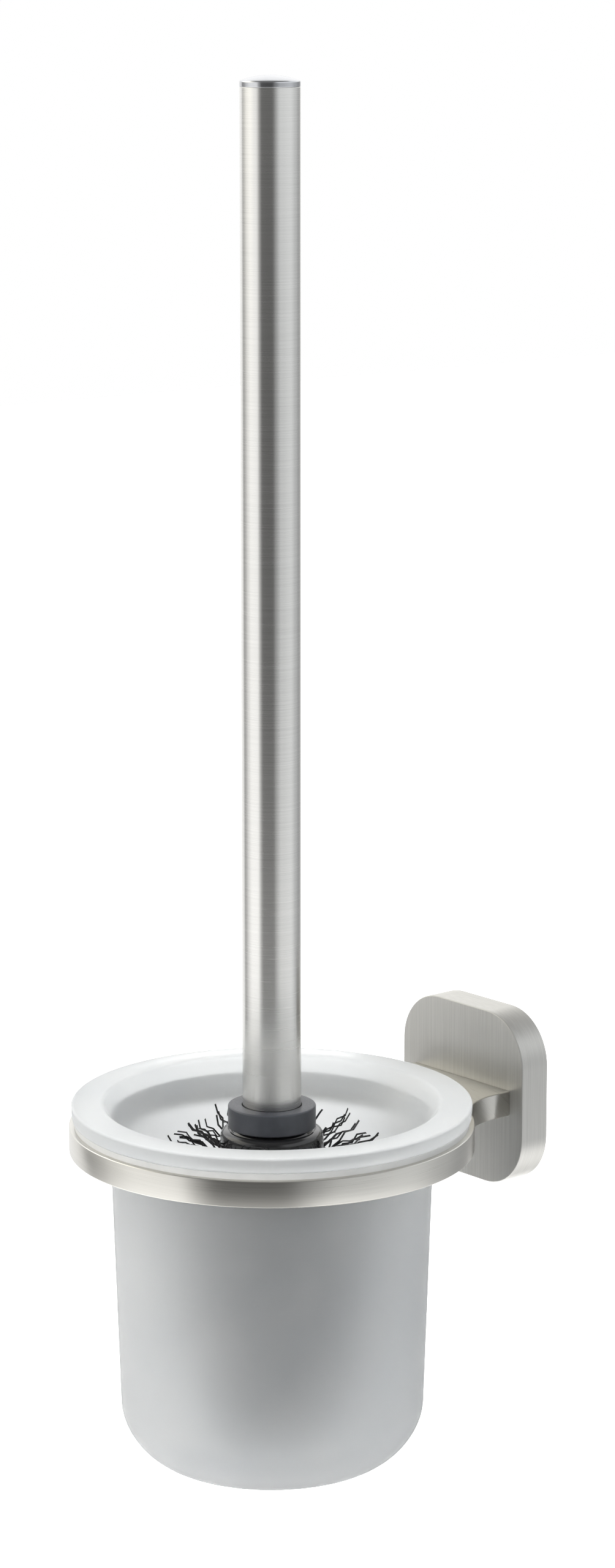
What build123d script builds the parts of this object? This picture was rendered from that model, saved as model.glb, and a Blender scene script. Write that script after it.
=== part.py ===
from build123d import *
import os
from math import sqrt

# Wall-mounted toilet brush set: a steel ring on a short arm holds a frosted glass bowl, and a brush
# with a steel tube handle stands in the bowl.
# Frame: the origin is on the wall, at the centre of the square wall cover. +Y points into the wall,
# +X is to the right seen from the room, +Z is up. Z = 0 is also the middle of the arm and the ring.
# All sizes are in millimetres.

# --- wall cover and the bracket behind it ---
cover_side = 50.0            # the cover is square
cover_depth = 9.5            # how far its face stands off the wall
cover_corner = 14.8          # radius of the square's corners
cover_wall = 1.6             # thickness of the rim
cover_face = 2.6             # thickness of the front, which takes countersunk heads
cover_edge = 0.3             # bevel round the front
bracket_thickness = 4.4
bracket_gap = 0.25           # play between bracket and cover
wall_hole_spacing = 26.0     # two wall screws, side by side
wall_hole_radius = 2.6       # clears a 5 mm wall screw
notch_width = 10.0           # cut in the bracket's lower edge for the grub screw

# --- grub screw that locks the cover on the bracket ---
grub_radius = 2.0            # M4
grub_length = 6.0
grub_tip = 1.2               # height of the pointed end
grub_recess = 0.4            # sunk below the cover's underside
grub_socket = 1.15           # radius of the hexagonal socket over its corners
grub_socket_depth = 2.0
boss_width = 8.0             # thickened rim round the thread
boss_height = 3.0

# --- arm and ring, one piece ---
bar_height = 7.2             # thickness of the arm and the ring
arm_width = 40.0
arm_length = 14.6            # from the cover's face to the nearest point of the ring
ring_radius = 55.4
ring_width = 8.9
flank_radius = 20.0          # hollow that leads the arm into the ring
bar_edge = 0.35              # bevel on the ring's edges
arm_hole_spacing = 20.0
arm_hole_depth = 12.0

# --- countersunk screws that hold the arm on the cover ---
arm_screw_radius = 2.0       # M4
arm_screw_length = 12.0      # over the head
arm_screw_head = 3.7
arm_socket = 1.44            # radius of the hexagonal socket over its corners
arm_socket_depth = 1.4
thread_play = 0.05           # radial play of every screw in its thread
clearance_hole_play = 0.2    # radial play of a screw in a plain hole

# --- seat that keeps the glass off the steel ---
seat_thickness = 1.65
seat_inset = 1.5             # the seat stops short of the ring's outer edge
seat_play = 0.15             # between the seat's collar and the ring's bore
seat_collar_wall = 1.1
seat_collar_depth = 6.0

# --- glass bowl ---
bowl_play = 0.85             # between the seat's collar and the glass
bowl_taper = 0.032           # narrowing of the body per millimetre of height
bowl_depth = 101.5           # underside of the rim to the lowest point
bowl_wall = 3.6
bowl_floor = 4.5
bowl_corner = 16.5           # outer radius between body and bottom
bowl_dome = 100.0            # the bottom is part of a sphere
rim_overhang = 0.9           # the rim reaches this far past the seat
rim_thickness = 4.35
rim_draft = 0.3              # the rim is this much narrower at its lower edge
rim_lip = 8.6                # width of the flat top
rim_edge = 0.7
lip_edge = 1.5               # rounding where the flat top turns into the bowl
under_rim_fillet = 0.7
flare_depth = 15.5           # height of the curve from the lip to the straight wall

# --- brush handle ---
tube_radius = 8.0
tube_wall = 1.0
tube_length = 275.5
cap_height = 3.1
cap_rim = 1.6                # straight part of the cap's side, under its domed top
cap_edge = 0.4
spigot_radius = 5.6
spigot_length = 9.0
sleeve_play = 0.05
sleeve_slot = 1.2
insert_length = 26.0
stud_radius = 4.0            # M8
stud_into_head = 20.0
stud_into_insert = 18.0
seal_wire = 0.75             # radius of the O-ring's section
seal_from_end = 6.0

# --- collar between tube and brush head ---
collar_radius = 12.0
collar_height = 6.2
collar_recess = 2.0          # the tube stands this deep in the collar
collar_recess_play = 0.35
collar_edge = 0.4
collar_sink = 1.0            # the collar's top lies this far below the bowl's rim

# --- brush head ---
shoulder_radius = 14.1
shoulder_edge = 2.0
shoulder_gap = 0.6           # the shoulder's rim lies this far below the collar
shoulder_height = 6.0
groove_depth = 0.8
groove_width = 1.6
core_radius = 9.0
core_tip_radius = 6.0
core_taper = 12.0            # height over which the core narrows to its tip
core_end_gap = 13.6          # bare floor under the core's tip
nut_radius = 6.5             # brass nut moulded into the head
nut_length = 22.0
head_thread_play = 0.06      # running clearance, because the head turns on the stud

# --- bristles, as the space they fill ---
bristle_play = 6.85          # between the widest bristles and the foot of the glass wall
bristle_draw_in = 4.0        # the lower bristles are this much shorter
bristle_tip_drop = 1.6       # the topmost tips lie this far below the collar
bristle_root_gap = 3.0       # bare core under the shoulder
bristle_mouth = 0.8          # inner radius of the splayed tips, as a share of the bristle radius
splay_height = 20.0          # how far the top bristles rise from root to tip
splay_depth = 14.0           # height of the top tier at its root
end_height = 22.7            # height of the lowest tier
end_rise = 9.0               # height over which it widens
tier_gap = 1.5
bristle_floor_gap = 0.5      # between the lowest bristles and the bowl

# --- derived places ---
STANDING = (Align.CENTER, Align.CENTER, Align.MIN)   # a bar or cone that stands on its base
face_y = -cover_depth
ring_y = face_y - arm_length - ring_radius
ring_bore = ring_radius - ring_width
ring_top = bar_height / 2
seat_top = ring_top + seat_thickness
seat_radius = ring_radius - seat_inset
rim_radius = seat_radius + rim_overhang
rim_top = seat_top + rim_thickness
seat_collar_outer = ring_bore - seat_play
seat_collar_inner = seat_collar_outer - seat_collar_wall
body_radius = seat_collar_inner - bowl_play
bowl_bottom = seat_top - bowl_depth
bowl_inside = bowl_bottom + bowl_floor
lip_radius = rim_radius - rim_lip
bowl_foot = body_radius - bowl_taper * (bowl_depth - bowl_corner / 2)
collar_top_z = rim_top - collar_sink
collar_bottom = collar_top_z - collar_height
tube_bottom = collar_top_z - collar_recess
tube_top = tube_bottom + tube_length
tube_bore = tube_radius - tube_wall
core_bottom = bowl_inside + core_end_gap
bristle_radius = bowl_foot - bowl_wall - bristle_play
bristle_waist = bristle_radius - bristle_draw_in
bristle_tip_z = collar_bottom - bristle_tip_drop
bristle_bottom = bowl_inside + bristle_floor_gap
shoulder_bottom = collar_bottom - shoulder_gap - shoulder_height
bristle_root_top = shoulder_bottom - bristle_root_gap
side_top = bristle_root_top - splay_depth - tier_gap
side_bottom = bristle_bottom + end_height + tier_gap
bracket_front = -bracket_thickness
cavity_side = cover_side - 2 * cover_wall
cavity_corner = cover_corner - cover_wall
grub_bottom = -cover_side / 2 + grub_recess


def on_wall(sketch, start, end):
    """A sketch in X and Z, extruded along Y from the plane y = start to y = end (end < start)."""
    return Pos(0, start, 0) * extrude(Plane.XZ * sketch, amount=start - end)


def along_y(radius, x, z, start, end):
    """A round bar parallel to Y, from y = start to y = end."""
    return on_wall(Pos(x, z) * Circle(radius), start, end)


def turned(face):
    """A face drawn in radius and height, turned round the axis of ring, bowl and brush."""
    return Pos(0, ring_y, 0) * revolve(Plane.XZ * face, axis=Axis.Z)


def disc(radius, bottom, top):
    """A round bar on the axis of ring, bowl and brush."""
    return Pos(0, ring_y, bottom) * Cylinder(radius, top - bottom, align=STANDING)


def rounded_profile(*corners):
    """A closed outline from (radius, height, corner radius) triples."""
    points = [(r, z) for r, z, _ in corners]
    return make_face(FilletPolyline(*points, radius=[edge for _, _, edge in corners], close=True))


def make_wall_cover():
    shell = on_wall(RectangleRounded(cover_side, cover_side, cover_corner), 0, face_y)
    shell = chamfer(shell.faces().sort_by(Axis.Y)[0].edges(), cover_edge)
    shell -= on_wall(RectangleRounded(cavity_side, cavity_side, cavity_corner), 0, face_y + cover_face)
    boss_z = (-cavity_side + boss_height) / 2
    shell += on_wall(Pos(0, boss_z) * Rectangle(boss_width, boss_height), 0, face_y + cover_face / 2)
    hole_bottom = -cover_side / 2 - 1
    hole = Cylinder(grub_radius, cover_wall + boss_height + 2, align=STANDING)
    shell -= Pos(0, grub_y(), hole_bottom) * hole
    head_height = arm_screw_head - arm_screw_radius
    for side in (-1, 1):
        x = side * arm_hole_spacing / 2
        shell -= along_y(arm_screw_radius + clearance_hole_play, x, 0, 0, face_y)
        cone = Cone(arm_screw_head, arm_screw_radius, head_height, align=STANDING)
        shell -= Pos(x, face_y + cover_face, 0) * Rot(90, 0, 0) * cone
    return shell


def grub_y():
    """The grub screw runs behind the bracket's front, so that its point wedges the cover back."""
    return bracket_front / 2 - grub_radius / 4


def make_wall_bracket():
    side = cavity_side - 2 * bracket_gap
    plate = on_wall(RectangleRounded(side, side, cavity_corner - bracket_gap), 0, bracket_front)
    notch_height = 2 * (grub_bottom + grub_length + side / 2)
    plate -= on_wall(Pos(0, -side / 2) * Rectangle(notch_width, notch_height), 0, bracket_front)
    for x in (-wall_hole_spacing / 2, wall_hole_spacing / 2):
        plate -= along_y(wall_hole_radius, x, 0, 0, bracket_front)
    return plate


def make_grub_screw():
    radius = grub_radius - thread_play
    shank = grub_length - grub_tip
    body = Pos(0, 0, grub_bottom) * Cylinder(radius, shank, align=STANDING)
    body += Pos(0, 0, grub_bottom + shank) * Cone(radius, radius / 4, grub_tip, align=STANDING)
    body -= Pos(0, 0, grub_bottom) * extrude(RegularPolygon(grub_socket, 6), grub_socket_depth)
    return Pos(0, grub_y(), 0) * body


def make_holder_ring():
    outline = Pos(0, ring_y) * Circle(ring_radius)
    outline += Pos(0, (face_y + ring_y) / 2) * Rectangle(arm_width, face_y - ring_y)
    meeting_y = ring_y + sqrt(ring_radius**2 - (arm_width / 2) ** 2)
    outline = fillet(outline.vertices().filter_by(lambda v: abs(v.Y - meeting_y) < 0.01), flank_radius)
    outline -= Pos(0, ring_y) * Circle(ring_bore)
    bar = extrude(Pos(0, 0, -bar_height / 2) * outline, bar_height)
    for face in (bar.faces().sort_by(Axis.Z)[0], bar.faces().sort_by(Axis.Z)[-1]):
        edges = face.outer_wire().edges().filter_by(lambda e: (e @ 0.5).Y < face_y - 0.01)
        bar = chamfer(bar.edges().filter_by(lambda e: is_one_of(e, edges)), bar_edge)
    for side in (-1, 1):
        bar -= along_y(arm_screw_radius, side * arm_hole_spacing / 2, 0, face_y, face_y - arm_hole_depth)
    return bar


def is_one_of(edge, edges):
    """True when the edge lies where one of the edges does."""
    return any((edge @ 0.5 - other @ 0.5).length < 0.01 for other in edges)


def make_arm_screw(side):
    x = side * arm_hole_spacing / 2
    head_top = face_y + cover_face
    radius = arm_screw_radius - thread_play
    body = along_y(radius, 0, 0, head_top, head_top - arm_screw_length)
    cone_height = arm_screw_head - thread_play - radius
    cone = Cone(arm_screw_head - thread_play, radius, cone_height, align=STANDING)
    body += Pos(0, head_top, 0) * Rot(90, 0, 0) * cone
    body -= on_wall(RegularPolygon(arm_socket, 6), head_top, head_top - arm_socket_depth)
    return Pos(x, 0, 0) * body


def make_seat_ring():
    collar_end = seat_top - seat_collar_depth
    profile = rounded_profile(
        (seat_collar_inner, collar_end, 0.3),
        (seat_collar_outer, collar_end, 0.3),
        (seat_collar_outer, ring_top, 0),
        (seat_radius, ring_top, 0),
        (seat_radius, seat_top, 0.3),
        (seat_collar_inner, seat_top, 0.3),
    )
    return turned(profile)


def dome_height(radius, bottom, sphere):
    """Height of a spherical bottom at a distance from the axis."""
    return bottom + sphere - sqrt(sphere**2 - radius**2)


def vessel_side(foot, bottom, sphere, top_radius, top_z):
    """Edges from the lowest point of a vessel, out along its dome and up its straight wall."""
    foot_z = dome_height(foot, bottom, sphere)
    middle = (foot / 2, dome_height(foot / 2, bottom, sphere))
    dome = ThreePointArc((0, bottom), middle, (foot, foot_z))
    return [dome, Line((foot, foot_z), (top_radius, top_z))], (foot, foot_z)


def round_corner(face, corner, radius):
    """Rounds the vertex of a face that lies nearest a corner."""
    vertex = face.vertices().sort_by_distance((corner[0], corner[1], 0))[0]
    return fillet(vertex, radius)


def make_glass_bowl():
    outer, outer_foot = vessel_side(bowl_foot, bowl_bottom, bowl_dome, body_radius, seat_top)
    rim = [(body_radius, seat_top), (rim_radius - rim_draft, seat_top), (rim_radius, rim_top), (0, rim_top)]
    outer += [Polyline(*rim), Line((0, rim_top), (0, bowl_bottom))]
    outside = make_face(Curve() + outer)
    outside = round_corner(outside, outer_foot, bowl_corner)
    outside = round_corner(outside, rim[0], under_rim_fillet)
    outside = round_corner(outside, rim[1], rim_edge)
    outside = round_corner(outside, rim[2], rim_edge)

    flare_start = rim_top - flare_depth
    straight_top = body_radius - bowl_wall - bowl_taper * (seat_top - flare_start)
    inner_foot = bowl_foot - bowl_wall
    inner, inner_corner = vessel_side(inner_foot, bowl_inside, bowl_dome, straight_top, flare_start)
    guide = (straight_top + bowl_taper * flare_depth / 2, rim_top - flare_depth / 2)
    inner.append(Bezier((straight_top, flare_start), guide, (lip_radius, rim_top)))
    inner += [Line((lip_radius, rim_top), (0, rim_top)), Line((0, rim_top), (0, bowl_inside))]
    inside = make_face(Curve() + inner)
    inside = round_corner(inside, inner_corner, bowl_corner - bowl_wall)

    wall = outside - inside
    wall = round_corner(wall, (lip_radius, rim_top), lip_edge)
    return turned(wall)


def make_handle_tube():
    return disc(tube_radius, tube_bottom, tube_top) - disc(tube_bore, tube_bottom, tube_top)


def make_end_cap():
    crown = cap_height - cap_rim
    sphere = (tube_radius**2 + crown**2) / (2 * crown)
    top = disc(tube_radius, tube_top, tube_top + cap_height)
    top &= Pos(0, ring_y, tube_top + cap_height - sphere) * Sphere(sphere)
    rim_z = tube_top + cap_rim
    top = fillet(top.edges().filter_by(lambda e: abs(e.center().Z - rim_z) < 0.01), cap_edge)
    spigot = disc(spigot_radius, tube_top - spigot_length, tube_top)
    spigot = fillet(spigot.edges().sort_by(Axis.Z)[0], 0.5)
    return top + spigot


def make_cap_sleeve():
    bottom = tube_top - spigot_length + 1
    top = tube_top - 1
    sleeve = disc(tube_bore - sleeve_play, bottom, top) - disc(spigot_radius + sleeve_play, bottom, top)
    slot = Pos(tube_bore / 2, ring_y, (bottom + top) / 2) * Box(tube_bore, sleeve_slot, top - bottom)
    return sleeve - slot


def seal_middle():
    """Radius at which the O-ring's section is centred, so that it bears on the tube's bore."""
    return tube_bore - seal_wire


def make_tube_insert():
    body = disc(tube_bore - thread_play, tube_bottom, tube_bottom + insert_length)
    body -= disc(stud_radius, tube_bottom, tube_bottom + stud_into_insert + 2)
    groove_bottom = tube_bottom + seal_from_end - seal_wire * 1.3
    groove_top = tube_bottom + seal_from_end + seal_wire * 1.3
    groove = disc(tube_bore, groove_bottom, groove_top)
    groove -= disc(seal_middle() - seal_wire, groove_bottom, groove_top)
    return body - groove


def make_tube_seal():
    return Pos(0, ring_y, tube_bottom + seal_from_end) * Torus(seal_middle(), seal_wire)


def make_stud():
    radius = stud_radius - thread_play
    rod = disc(radius, collar_bottom - stud_into_head, tube_bottom + stud_into_insert)
    return chamfer(rod.edges().filter_by(GeomType.CIRCLE), 0.8)


def make_collar():
    recess = tube_radius + collar_recess_play
    profile = rounded_profile(
        (stud_radius + clearance_hole_play, collar_bottom, 0),
        (collar_radius, collar_bottom, collar_edge),
        (collar_radius, collar_top_z, collar_edge),
        (recess, collar_top_z, 0.2),
        (recess, tube_bottom, 0),
        (stud_radius + clearance_hole_play, tube_bottom, 0),
    )
    return turned(profile)


def head_body():
    """The moulded head without its bore: a tapered core under a wide shoulder."""
    neck = collar_radius - 1.5
    rim_z = collar_bottom - shoulder_gap
    groove = shoulder_radius - shoulder_edge - groove_width
    profile = rounded_profile(
        (0, core_bottom, 0),
        (core_tip_radius, core_bottom, 3.0),
        (core_radius, core_bottom + core_taper, 6.0),
        (core_radius, shoulder_bottom, 1.0),
        (shoulder_radius, shoulder_bottom, 1.0),
        (shoulder_radius, rim_z, shoulder_edge),
        (groove + groove_width, rim_z, 0.2),
        (groove + groove_width / 2, rim_z - groove_depth, 0.4),
        (neck, collar_bottom, 0),
        (0, collar_bottom, 0),
    )
    return turned(profile)


def make_head_core():
    core = head_body() - disc(nut_radius, collar_bottom - nut_length, collar_bottom)
    return core - disc(stud_radius + 0.5, collar_bottom - nut_length - 2, collar_bottom)


def make_head_nut():
    bottom = collar_bottom - nut_length
    bore = stud_radius - thread_play + head_thread_play
    return disc(nut_radius, bottom, collar_bottom) - disc(bore, bottom, collar_bottom)


def make_bristles_top():
    root_bottom = bristle_root_top - splay_depth
    profile = rounded_profile(
        (0, root_bottom, 0),
        (core_radius, root_bottom, 0),
        (bristle_radius, root_bottom + splay_height * 0.6, 2.0),
        (bristle_radius, bristle_tip_z, 2.0),
        (bristle_radius * bristle_mouth, bristle_tip_z, 2.0),
        (core_radius, bristle_root_top, 0),
        (0, bristle_root_top, 0),
    )
    return turned(profile) - head_body()


def make_bristles_side():
    profile = rounded_profile(
        (0, side_bottom, 0),
        (bristle_waist, side_bottom, 2.0),
        (bristle_radius, side_top - 2, 2.0),
        (bristle_radius, side_top + 4, 2.0),
        (core_radius, side_top, 0),
        (0, side_top, 0),
    )
    return turned(profile) - head_body()


def make_bristles_end():
    top = bristle_bottom + end_height
    flat = bristle_waist * 0.6
    profile = rounded_profile(
        (0, bristle_bottom, 0),
        (flat, dome_height(flat, bristle_bottom, bowl_dome), 4.0),
        (bristle_waist, bristle_bottom + end_rise, 4.0),
        (bristle_waist, top, 1.0),
        (0, top, 0),
    )
    return turned(profile) - head_body()


parts = {
    "wall_cover": make_wall_cover(),
    "wall_bracket": make_wall_bracket(),
    "grub_screw": make_grub_screw(),
    "arm_screw_left": make_arm_screw(-1),
    "arm_screw_right": make_arm_screw(1),
    "holder_ring": make_holder_ring(),
    "seat_ring": make_seat_ring(),
    "glass_bowl": make_glass_bowl(),
    "handle_tube": make_handle_tube(),
    "end_cap": make_end_cap(),
    "cap_sleeve": make_cap_sleeve(),
    "tube_insert": make_tube_insert(),
    "tube_seal": make_tube_seal(),
    "stud": make_stud(),
    "collar": make_collar(),
    "head_core": make_head_core(),
    "head_nut": make_head_nut(),
    "bristles_top": make_bristles_top(),
    "bristles_side": make_bristles_side(),
    "bristles_end": make_bristles_end(),
}

os.makedirs("parts", exist_ok=True)
for name, solid in parts.items():
    export_step(solid, "parts/" + name + ".step")
    print(name, round(solid.volume, 1))
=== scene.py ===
# %% [markdown]
# # A toilet brush holder in steel and frosted glass
#
# This lesson builds the visible pieces of a wall-mounted toilet brush holder: a steel plate and arm
# with a ring, a frosted glass bowl that hangs in the ring, and a brush with a steel tube handle.
# The hidden screws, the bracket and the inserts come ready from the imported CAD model, and they get
# materials here. Everything is in metres, with the origin on the wall and Z up.

# %% Load the CAD model
import math
import random

import bmesh
import bpy
from mathutils import Matrix, Vector


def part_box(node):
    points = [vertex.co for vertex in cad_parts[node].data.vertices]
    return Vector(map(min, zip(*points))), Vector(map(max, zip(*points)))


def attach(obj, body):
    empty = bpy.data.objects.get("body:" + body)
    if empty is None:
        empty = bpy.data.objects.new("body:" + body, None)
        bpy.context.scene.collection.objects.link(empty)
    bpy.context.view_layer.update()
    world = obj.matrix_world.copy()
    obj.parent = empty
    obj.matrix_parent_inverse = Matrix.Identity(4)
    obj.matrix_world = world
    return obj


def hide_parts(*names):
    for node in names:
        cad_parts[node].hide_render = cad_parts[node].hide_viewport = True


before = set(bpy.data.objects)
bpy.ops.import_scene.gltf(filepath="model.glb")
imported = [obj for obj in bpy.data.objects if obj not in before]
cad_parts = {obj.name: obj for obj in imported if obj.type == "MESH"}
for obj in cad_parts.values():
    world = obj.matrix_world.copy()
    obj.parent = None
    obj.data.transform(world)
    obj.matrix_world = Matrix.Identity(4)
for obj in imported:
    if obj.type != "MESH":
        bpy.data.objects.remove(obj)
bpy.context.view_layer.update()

print("CAD nodes:", ", ".join(sorted(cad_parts)))

# %% [markdown]
# ## Places
#
# The heights and radii of the new pieces come from the boxes of the CAD nodes that they stand for,
# so they always fit their neighbours. The ring, the bowl and the brush share one upright axis.

# %% Read the places
MM = 0.001
low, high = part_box("handle_tube")
AXIS_Y = (low.y + high.y) / 2
TUBE_RADIUS = (high.x - low.x) / 2
TUBE_BOTTOM, TUBE_TOP = low.z, high.z
CAP_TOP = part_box("end_cap")[1].z
RING_LOW, RING_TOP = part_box("holder_ring")[0].z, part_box("holder_ring")[1].z
RING_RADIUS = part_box("holder_ring")[1].x
SEAT_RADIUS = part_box("seat_ring")[1].x
SEAT_LOW, SEAT_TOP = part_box("seat_ring")[0].z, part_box("seat_ring")[1].z
RIM_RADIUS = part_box("glass_bowl")[1].x
BOWL_LOW, RIM_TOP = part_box("glass_bowl")[0].z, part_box("glass_bowl")[1].z
COVER_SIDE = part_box("wall_cover")[1].x * 2
FACE_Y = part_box("wall_cover")[0].y
COLLAR_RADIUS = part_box("collar")[1].x
COLLAR_LOW, COLLAR_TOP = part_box("collar")[0].z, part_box("collar")[1].z
HEAD_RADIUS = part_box("head_core")[1].x
HEAD_LOW, HEAD_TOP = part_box("head_core")[0].z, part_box("head_core")[1].z


def in_mm(values):
    """Sizes in millimetres, rounded for printing."""
    return [round(value / MM, 1) for value in values]


print("axis at y, rim across, tube from and to:",
      in_mm((AXIS_Y, RIM_RADIUS * 2, TUBE_BOTTOM, TUBE_TOP)), "mm")

# %% [markdown]
# ## The camera
#
# The holder is seen from the right and a little above. A long lens keeps the upright tube and the
# bowl nearly parallel, as in a product picture.

# %% Place the camera
CAMERA_PLACE = Vector((0.81015, -0.74777, 0.31396))
CAMERA_AZIMUTH, CAMERA_ELEVATION = math.radians(49.952), math.radians(11.638)
LENS_MM, SENSOR_MM = 91.73, 36.0
bpy.ops.object.select_all(action="DESELECT")
bpy.ops.object.camera_add(location=CAMERA_PLACE)
camera = bpy.context.object
camera.name = "camera"
towards_camera = Vector((
    math.sin(CAMERA_AZIMUTH) * math.cos(CAMERA_ELEVATION),
    -math.cos(CAMERA_AZIMUTH) * math.cos(CAMERA_ELEVATION),
    math.sin(CAMERA_ELEVATION),
))
camera.rotation_euler = (-towards_camera).to_track_quat("-Z", "Y").to_euler()
camera.data.sensor_width = SENSOR_MM
camera.data.lens = LENS_MM
camera.data.clip_start, camera.data.clip_end = 0.05, 20.0
bpy.context.scene.camera = camera
print("camera", LENS_MM, "mm lens,", f"{CAMERA_PLACE.length:.2f} m from the wall plate")

# %% [markdown]
# ## Colours and nodes
#
# Colours are written as sRGB hex values, and one function turns them to the linear numbers that the
# shaders use. One more small function adds a node with its settings and links.

# %% Define the colour and node helpers
def colour(hex_code):
    """Linear RGBA from an sRGB hex code."""
    parts = [int(hex_code[place:place + 2], 16) / 255 for place in (1, 3, 5)]
    return (*[p / 12.92 if p <= 0.04045 else ((p + 0.055) / 1.055) ** 2.4 for p in parts], 1.0)


def add(tree, kind, inputs=None, **settings):
    """Adds a shader node. An input is a value, or another node's output to link."""
    made = tree.nodes.new("ShaderNode" + kind)
    for name, value in settings.items():
        setattr(made, name, value)
    for socket, value in (inputs or {}).items():
        if isinstance(value, bpy.types.NodeSocket):
            tree.links.new(value, made.inputs[socket])
        else:
            made.inputs[socket].default_value = value
    return made


def new_material(name, values):
    """A material with one Principled shader, and that shader."""
    made = bpy.data.materials.new(name)
    made.use_nodes = True
    shader = made.node_tree.nodes["Principled BSDF"]
    for socket, value in values.items():
        shader.inputs[socket].default_value = value
    return made, made.node_tree, shader


print("mid grey #808080 is", round(colour("#808080")[0], 3), "in linear light")

# %% [markdown]
# ## Studio light and floor
#
# Steel shows the room around it, so the light is a soft studio painted on the world by direction. At
# eye level there is a wide bright panel to the left of the camera, a dark gap at the camera itself, an
# even grey side on the right and a white wall behind the holder. Another ring of panels hangs above
# it, with a warm one on the left, and a third lies below and lights the glass from underneath. The
# ceiling is dark. The camera sees plain white instead. A pale floor lies well below the holder, which
# hangs on a wall.

# %% Paint the studio on the world
# Each stop is a direction round the object in degrees from +X, a brightness, and 1 for warm light or
# -1 for cool light.
EYE_LEVEL = (
    (-180, 1.12, 0), (-174, 0.96, 0), (-165, 0.38, 0), (-152, 0.58, 0), (-138, 0.96, 0),
    (-122, 1.26, 0), (-92, 1.26, 0), (-82, 0.52, 0), (-72, 0.14, 0), (-44, 0.12, 0), (-32, 0.12, 0),
    (-18, 0.38, -1), (2, 0.70, -1), (42, 0.88, -1), (72, 0.62, -1), (92, 0.44, -1), (108, 0.44, 0),
    (124, 1.12, 0), (180, 1.12, 0),
)
HIGH_UP = (
    (-180, 1.40, 0), (-174, 2.20, 0), (-160, 2.30, 1), (-150, 2.20, 1), (-124, 1.70, 1),
    (-100, 1.00, 0), (-76, 0.22, 0), (-30, 0.22, 0), (0, 1.15, -1), (75, 1.15, -1), (110, 1.40, 0),
    (180, 1.40, 0),
)
LOW_DOWN = (
    (-180, 2.10, 0), (-100, 1.90, 0), (-76, 0.85, 0), (-30, 0.85, 0), (-5, 1.80, 0), (60, 1.70, 0),
    (84, 1.00, 0), (116, 1.00, 0), (130, 2.10, 0), (180, 2.10, 0),
)
CEILING = 0.30
STUDIO_STRENGTH = 2.0        # the painted colours are divided by it
WARM = (1, 0.975, 0.89)
bpy.context.scene.view_settings.view_transform = "Standard"
studio = bpy.data.worlds.new("studio")
studio.use_nodes = True
bpy.context.scene.world = studio
sky = studio.node_tree
sky.nodes.clear()
direction = add(sky, "SeparateXYZ", {0: add(sky, "TexCoord").outputs["Generated"]})
turn = add(sky, "Math", {0: direction.outputs["Y"], 1: direction.outputs["X"]}, operation="ARCTAN2")
share = add(sky, "MapRange", {0: turn.outputs[0], 1: -math.pi, 2: math.pi})


def panels(stops):
    """Panels that stand round the object, painted by direction."""
    ramp = add(sky, "ValToRGB", {0: share.outputs[0]})
    ramp.color_ramp.interpolation = "EASE"
    for place, (angle, brightness, warmth) in enumerate(stops):
        position = (angle + 180) / 360
        if place < 2:
            stop = ramp.color_ramp.elements[place]
            stop.position = position
        else:
            stop = ramp.color_ramp.elements.new(position)
        tint = WARM if warmth > 0 else (1 + 0.04 * warmth, 1 + 0.02 * warmth, 1)
        stop.color = (*[brightness / STUDIO_STRENGTH * part for part in tint], 1.0)
    return ramp.outputs[0]


# Each zone has the upward part of the direction where it starts and where it is full, and its light.
LEVELS = (
    (0.11, 0.32, panels(HIGH_UP)),
    (0.70, 0.80, (*[CEILING / STUDIO_STRENGTH] * 3, 1)),
    (-0.42, -0.56, panels(LOW_DOWN)),
)
view = panels(EYE_LEVEL)
for start, full, light in LEVELS:
    zone = add(sky, "MapRange", {0: direction.outputs["Z"], 1: start, 2: full, 3: 0.0, 4: 1.0})
    view = add(sky, "Mix", {0: zone.outputs[0], 6: view, 7: light}, data_type="RGBA").outputs[2]
lit = add(sky, "Background", {0: view, 1: STUDIO_STRENGTH})
seen = add(sky, "Background", {0: (1, 1, 1, 1), 1: 1.0})
rays = add(sky, "LightPath")
both = add(sky, "MixShader", {0: rays.outputs["Is Camera Ray"], 1: lit.outputs[0], 2: seen.outputs[0]})
add(sky, "OutputWorld", {0: both.outputs[0]})
print(len(EYE_LEVEL) + len(HIGH_UP) + len(LOW_DOWN), "stops paint the studio")

# %% Lay the floor
FLOOR_Z, FLOOR_SIZE, FLOOR_GLOW = -0.60, 12.0, 0.75
bpy.ops.object.select_all(action="DESELECT")
bpy.ops.mesh.primitive_plane_add(size=FLOOR_SIZE, location=(0, 0, FLOOR_Z))
floor = bpy.context.object
floor.name = "floor"
floor.visible_glossy = floor.visible_diffuse = floor.visible_transmission = False
floor.data.materials.append(new_material("white_painted_floor", {
    "Base Color": colour("#F4F4F4"), "Roughness": 0.9,
    "Emission Color": colour("#FFFFFF"), "Emission Strength": FLOOR_GLOW})[0])
print("floor at", FLOOR_Z, "m")

# %% Hang the soft lights
def soft_light(name, place, size, watts):
    """A square panel light that faces the middle of the ring."""
    bpy.ops.object.select_all(action="DESELECT")
    bpy.ops.object.light_add(type="AREA", location=place)
    lamp = bpy.context.object
    lamp.name = name
    lamp.data.shape = "SQUARE"
    lamp.data.size = size
    lamp.data.energy = watts
    lamp.rotation_euler = (Vector((0, AXIS_Y, 0)) - Vector(place)).to_track_quat("-Z", "Y").to_euler()
    lamp.visible_glossy = False
    print(name, watts, "W")


soft_light("overhead_panel", (0.2, -0.5, 1.6), size=1.4, watts=31)
soft_light("front_panel", (0.5, -1.4, 0.5), size=1.2, watts=12)

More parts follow.
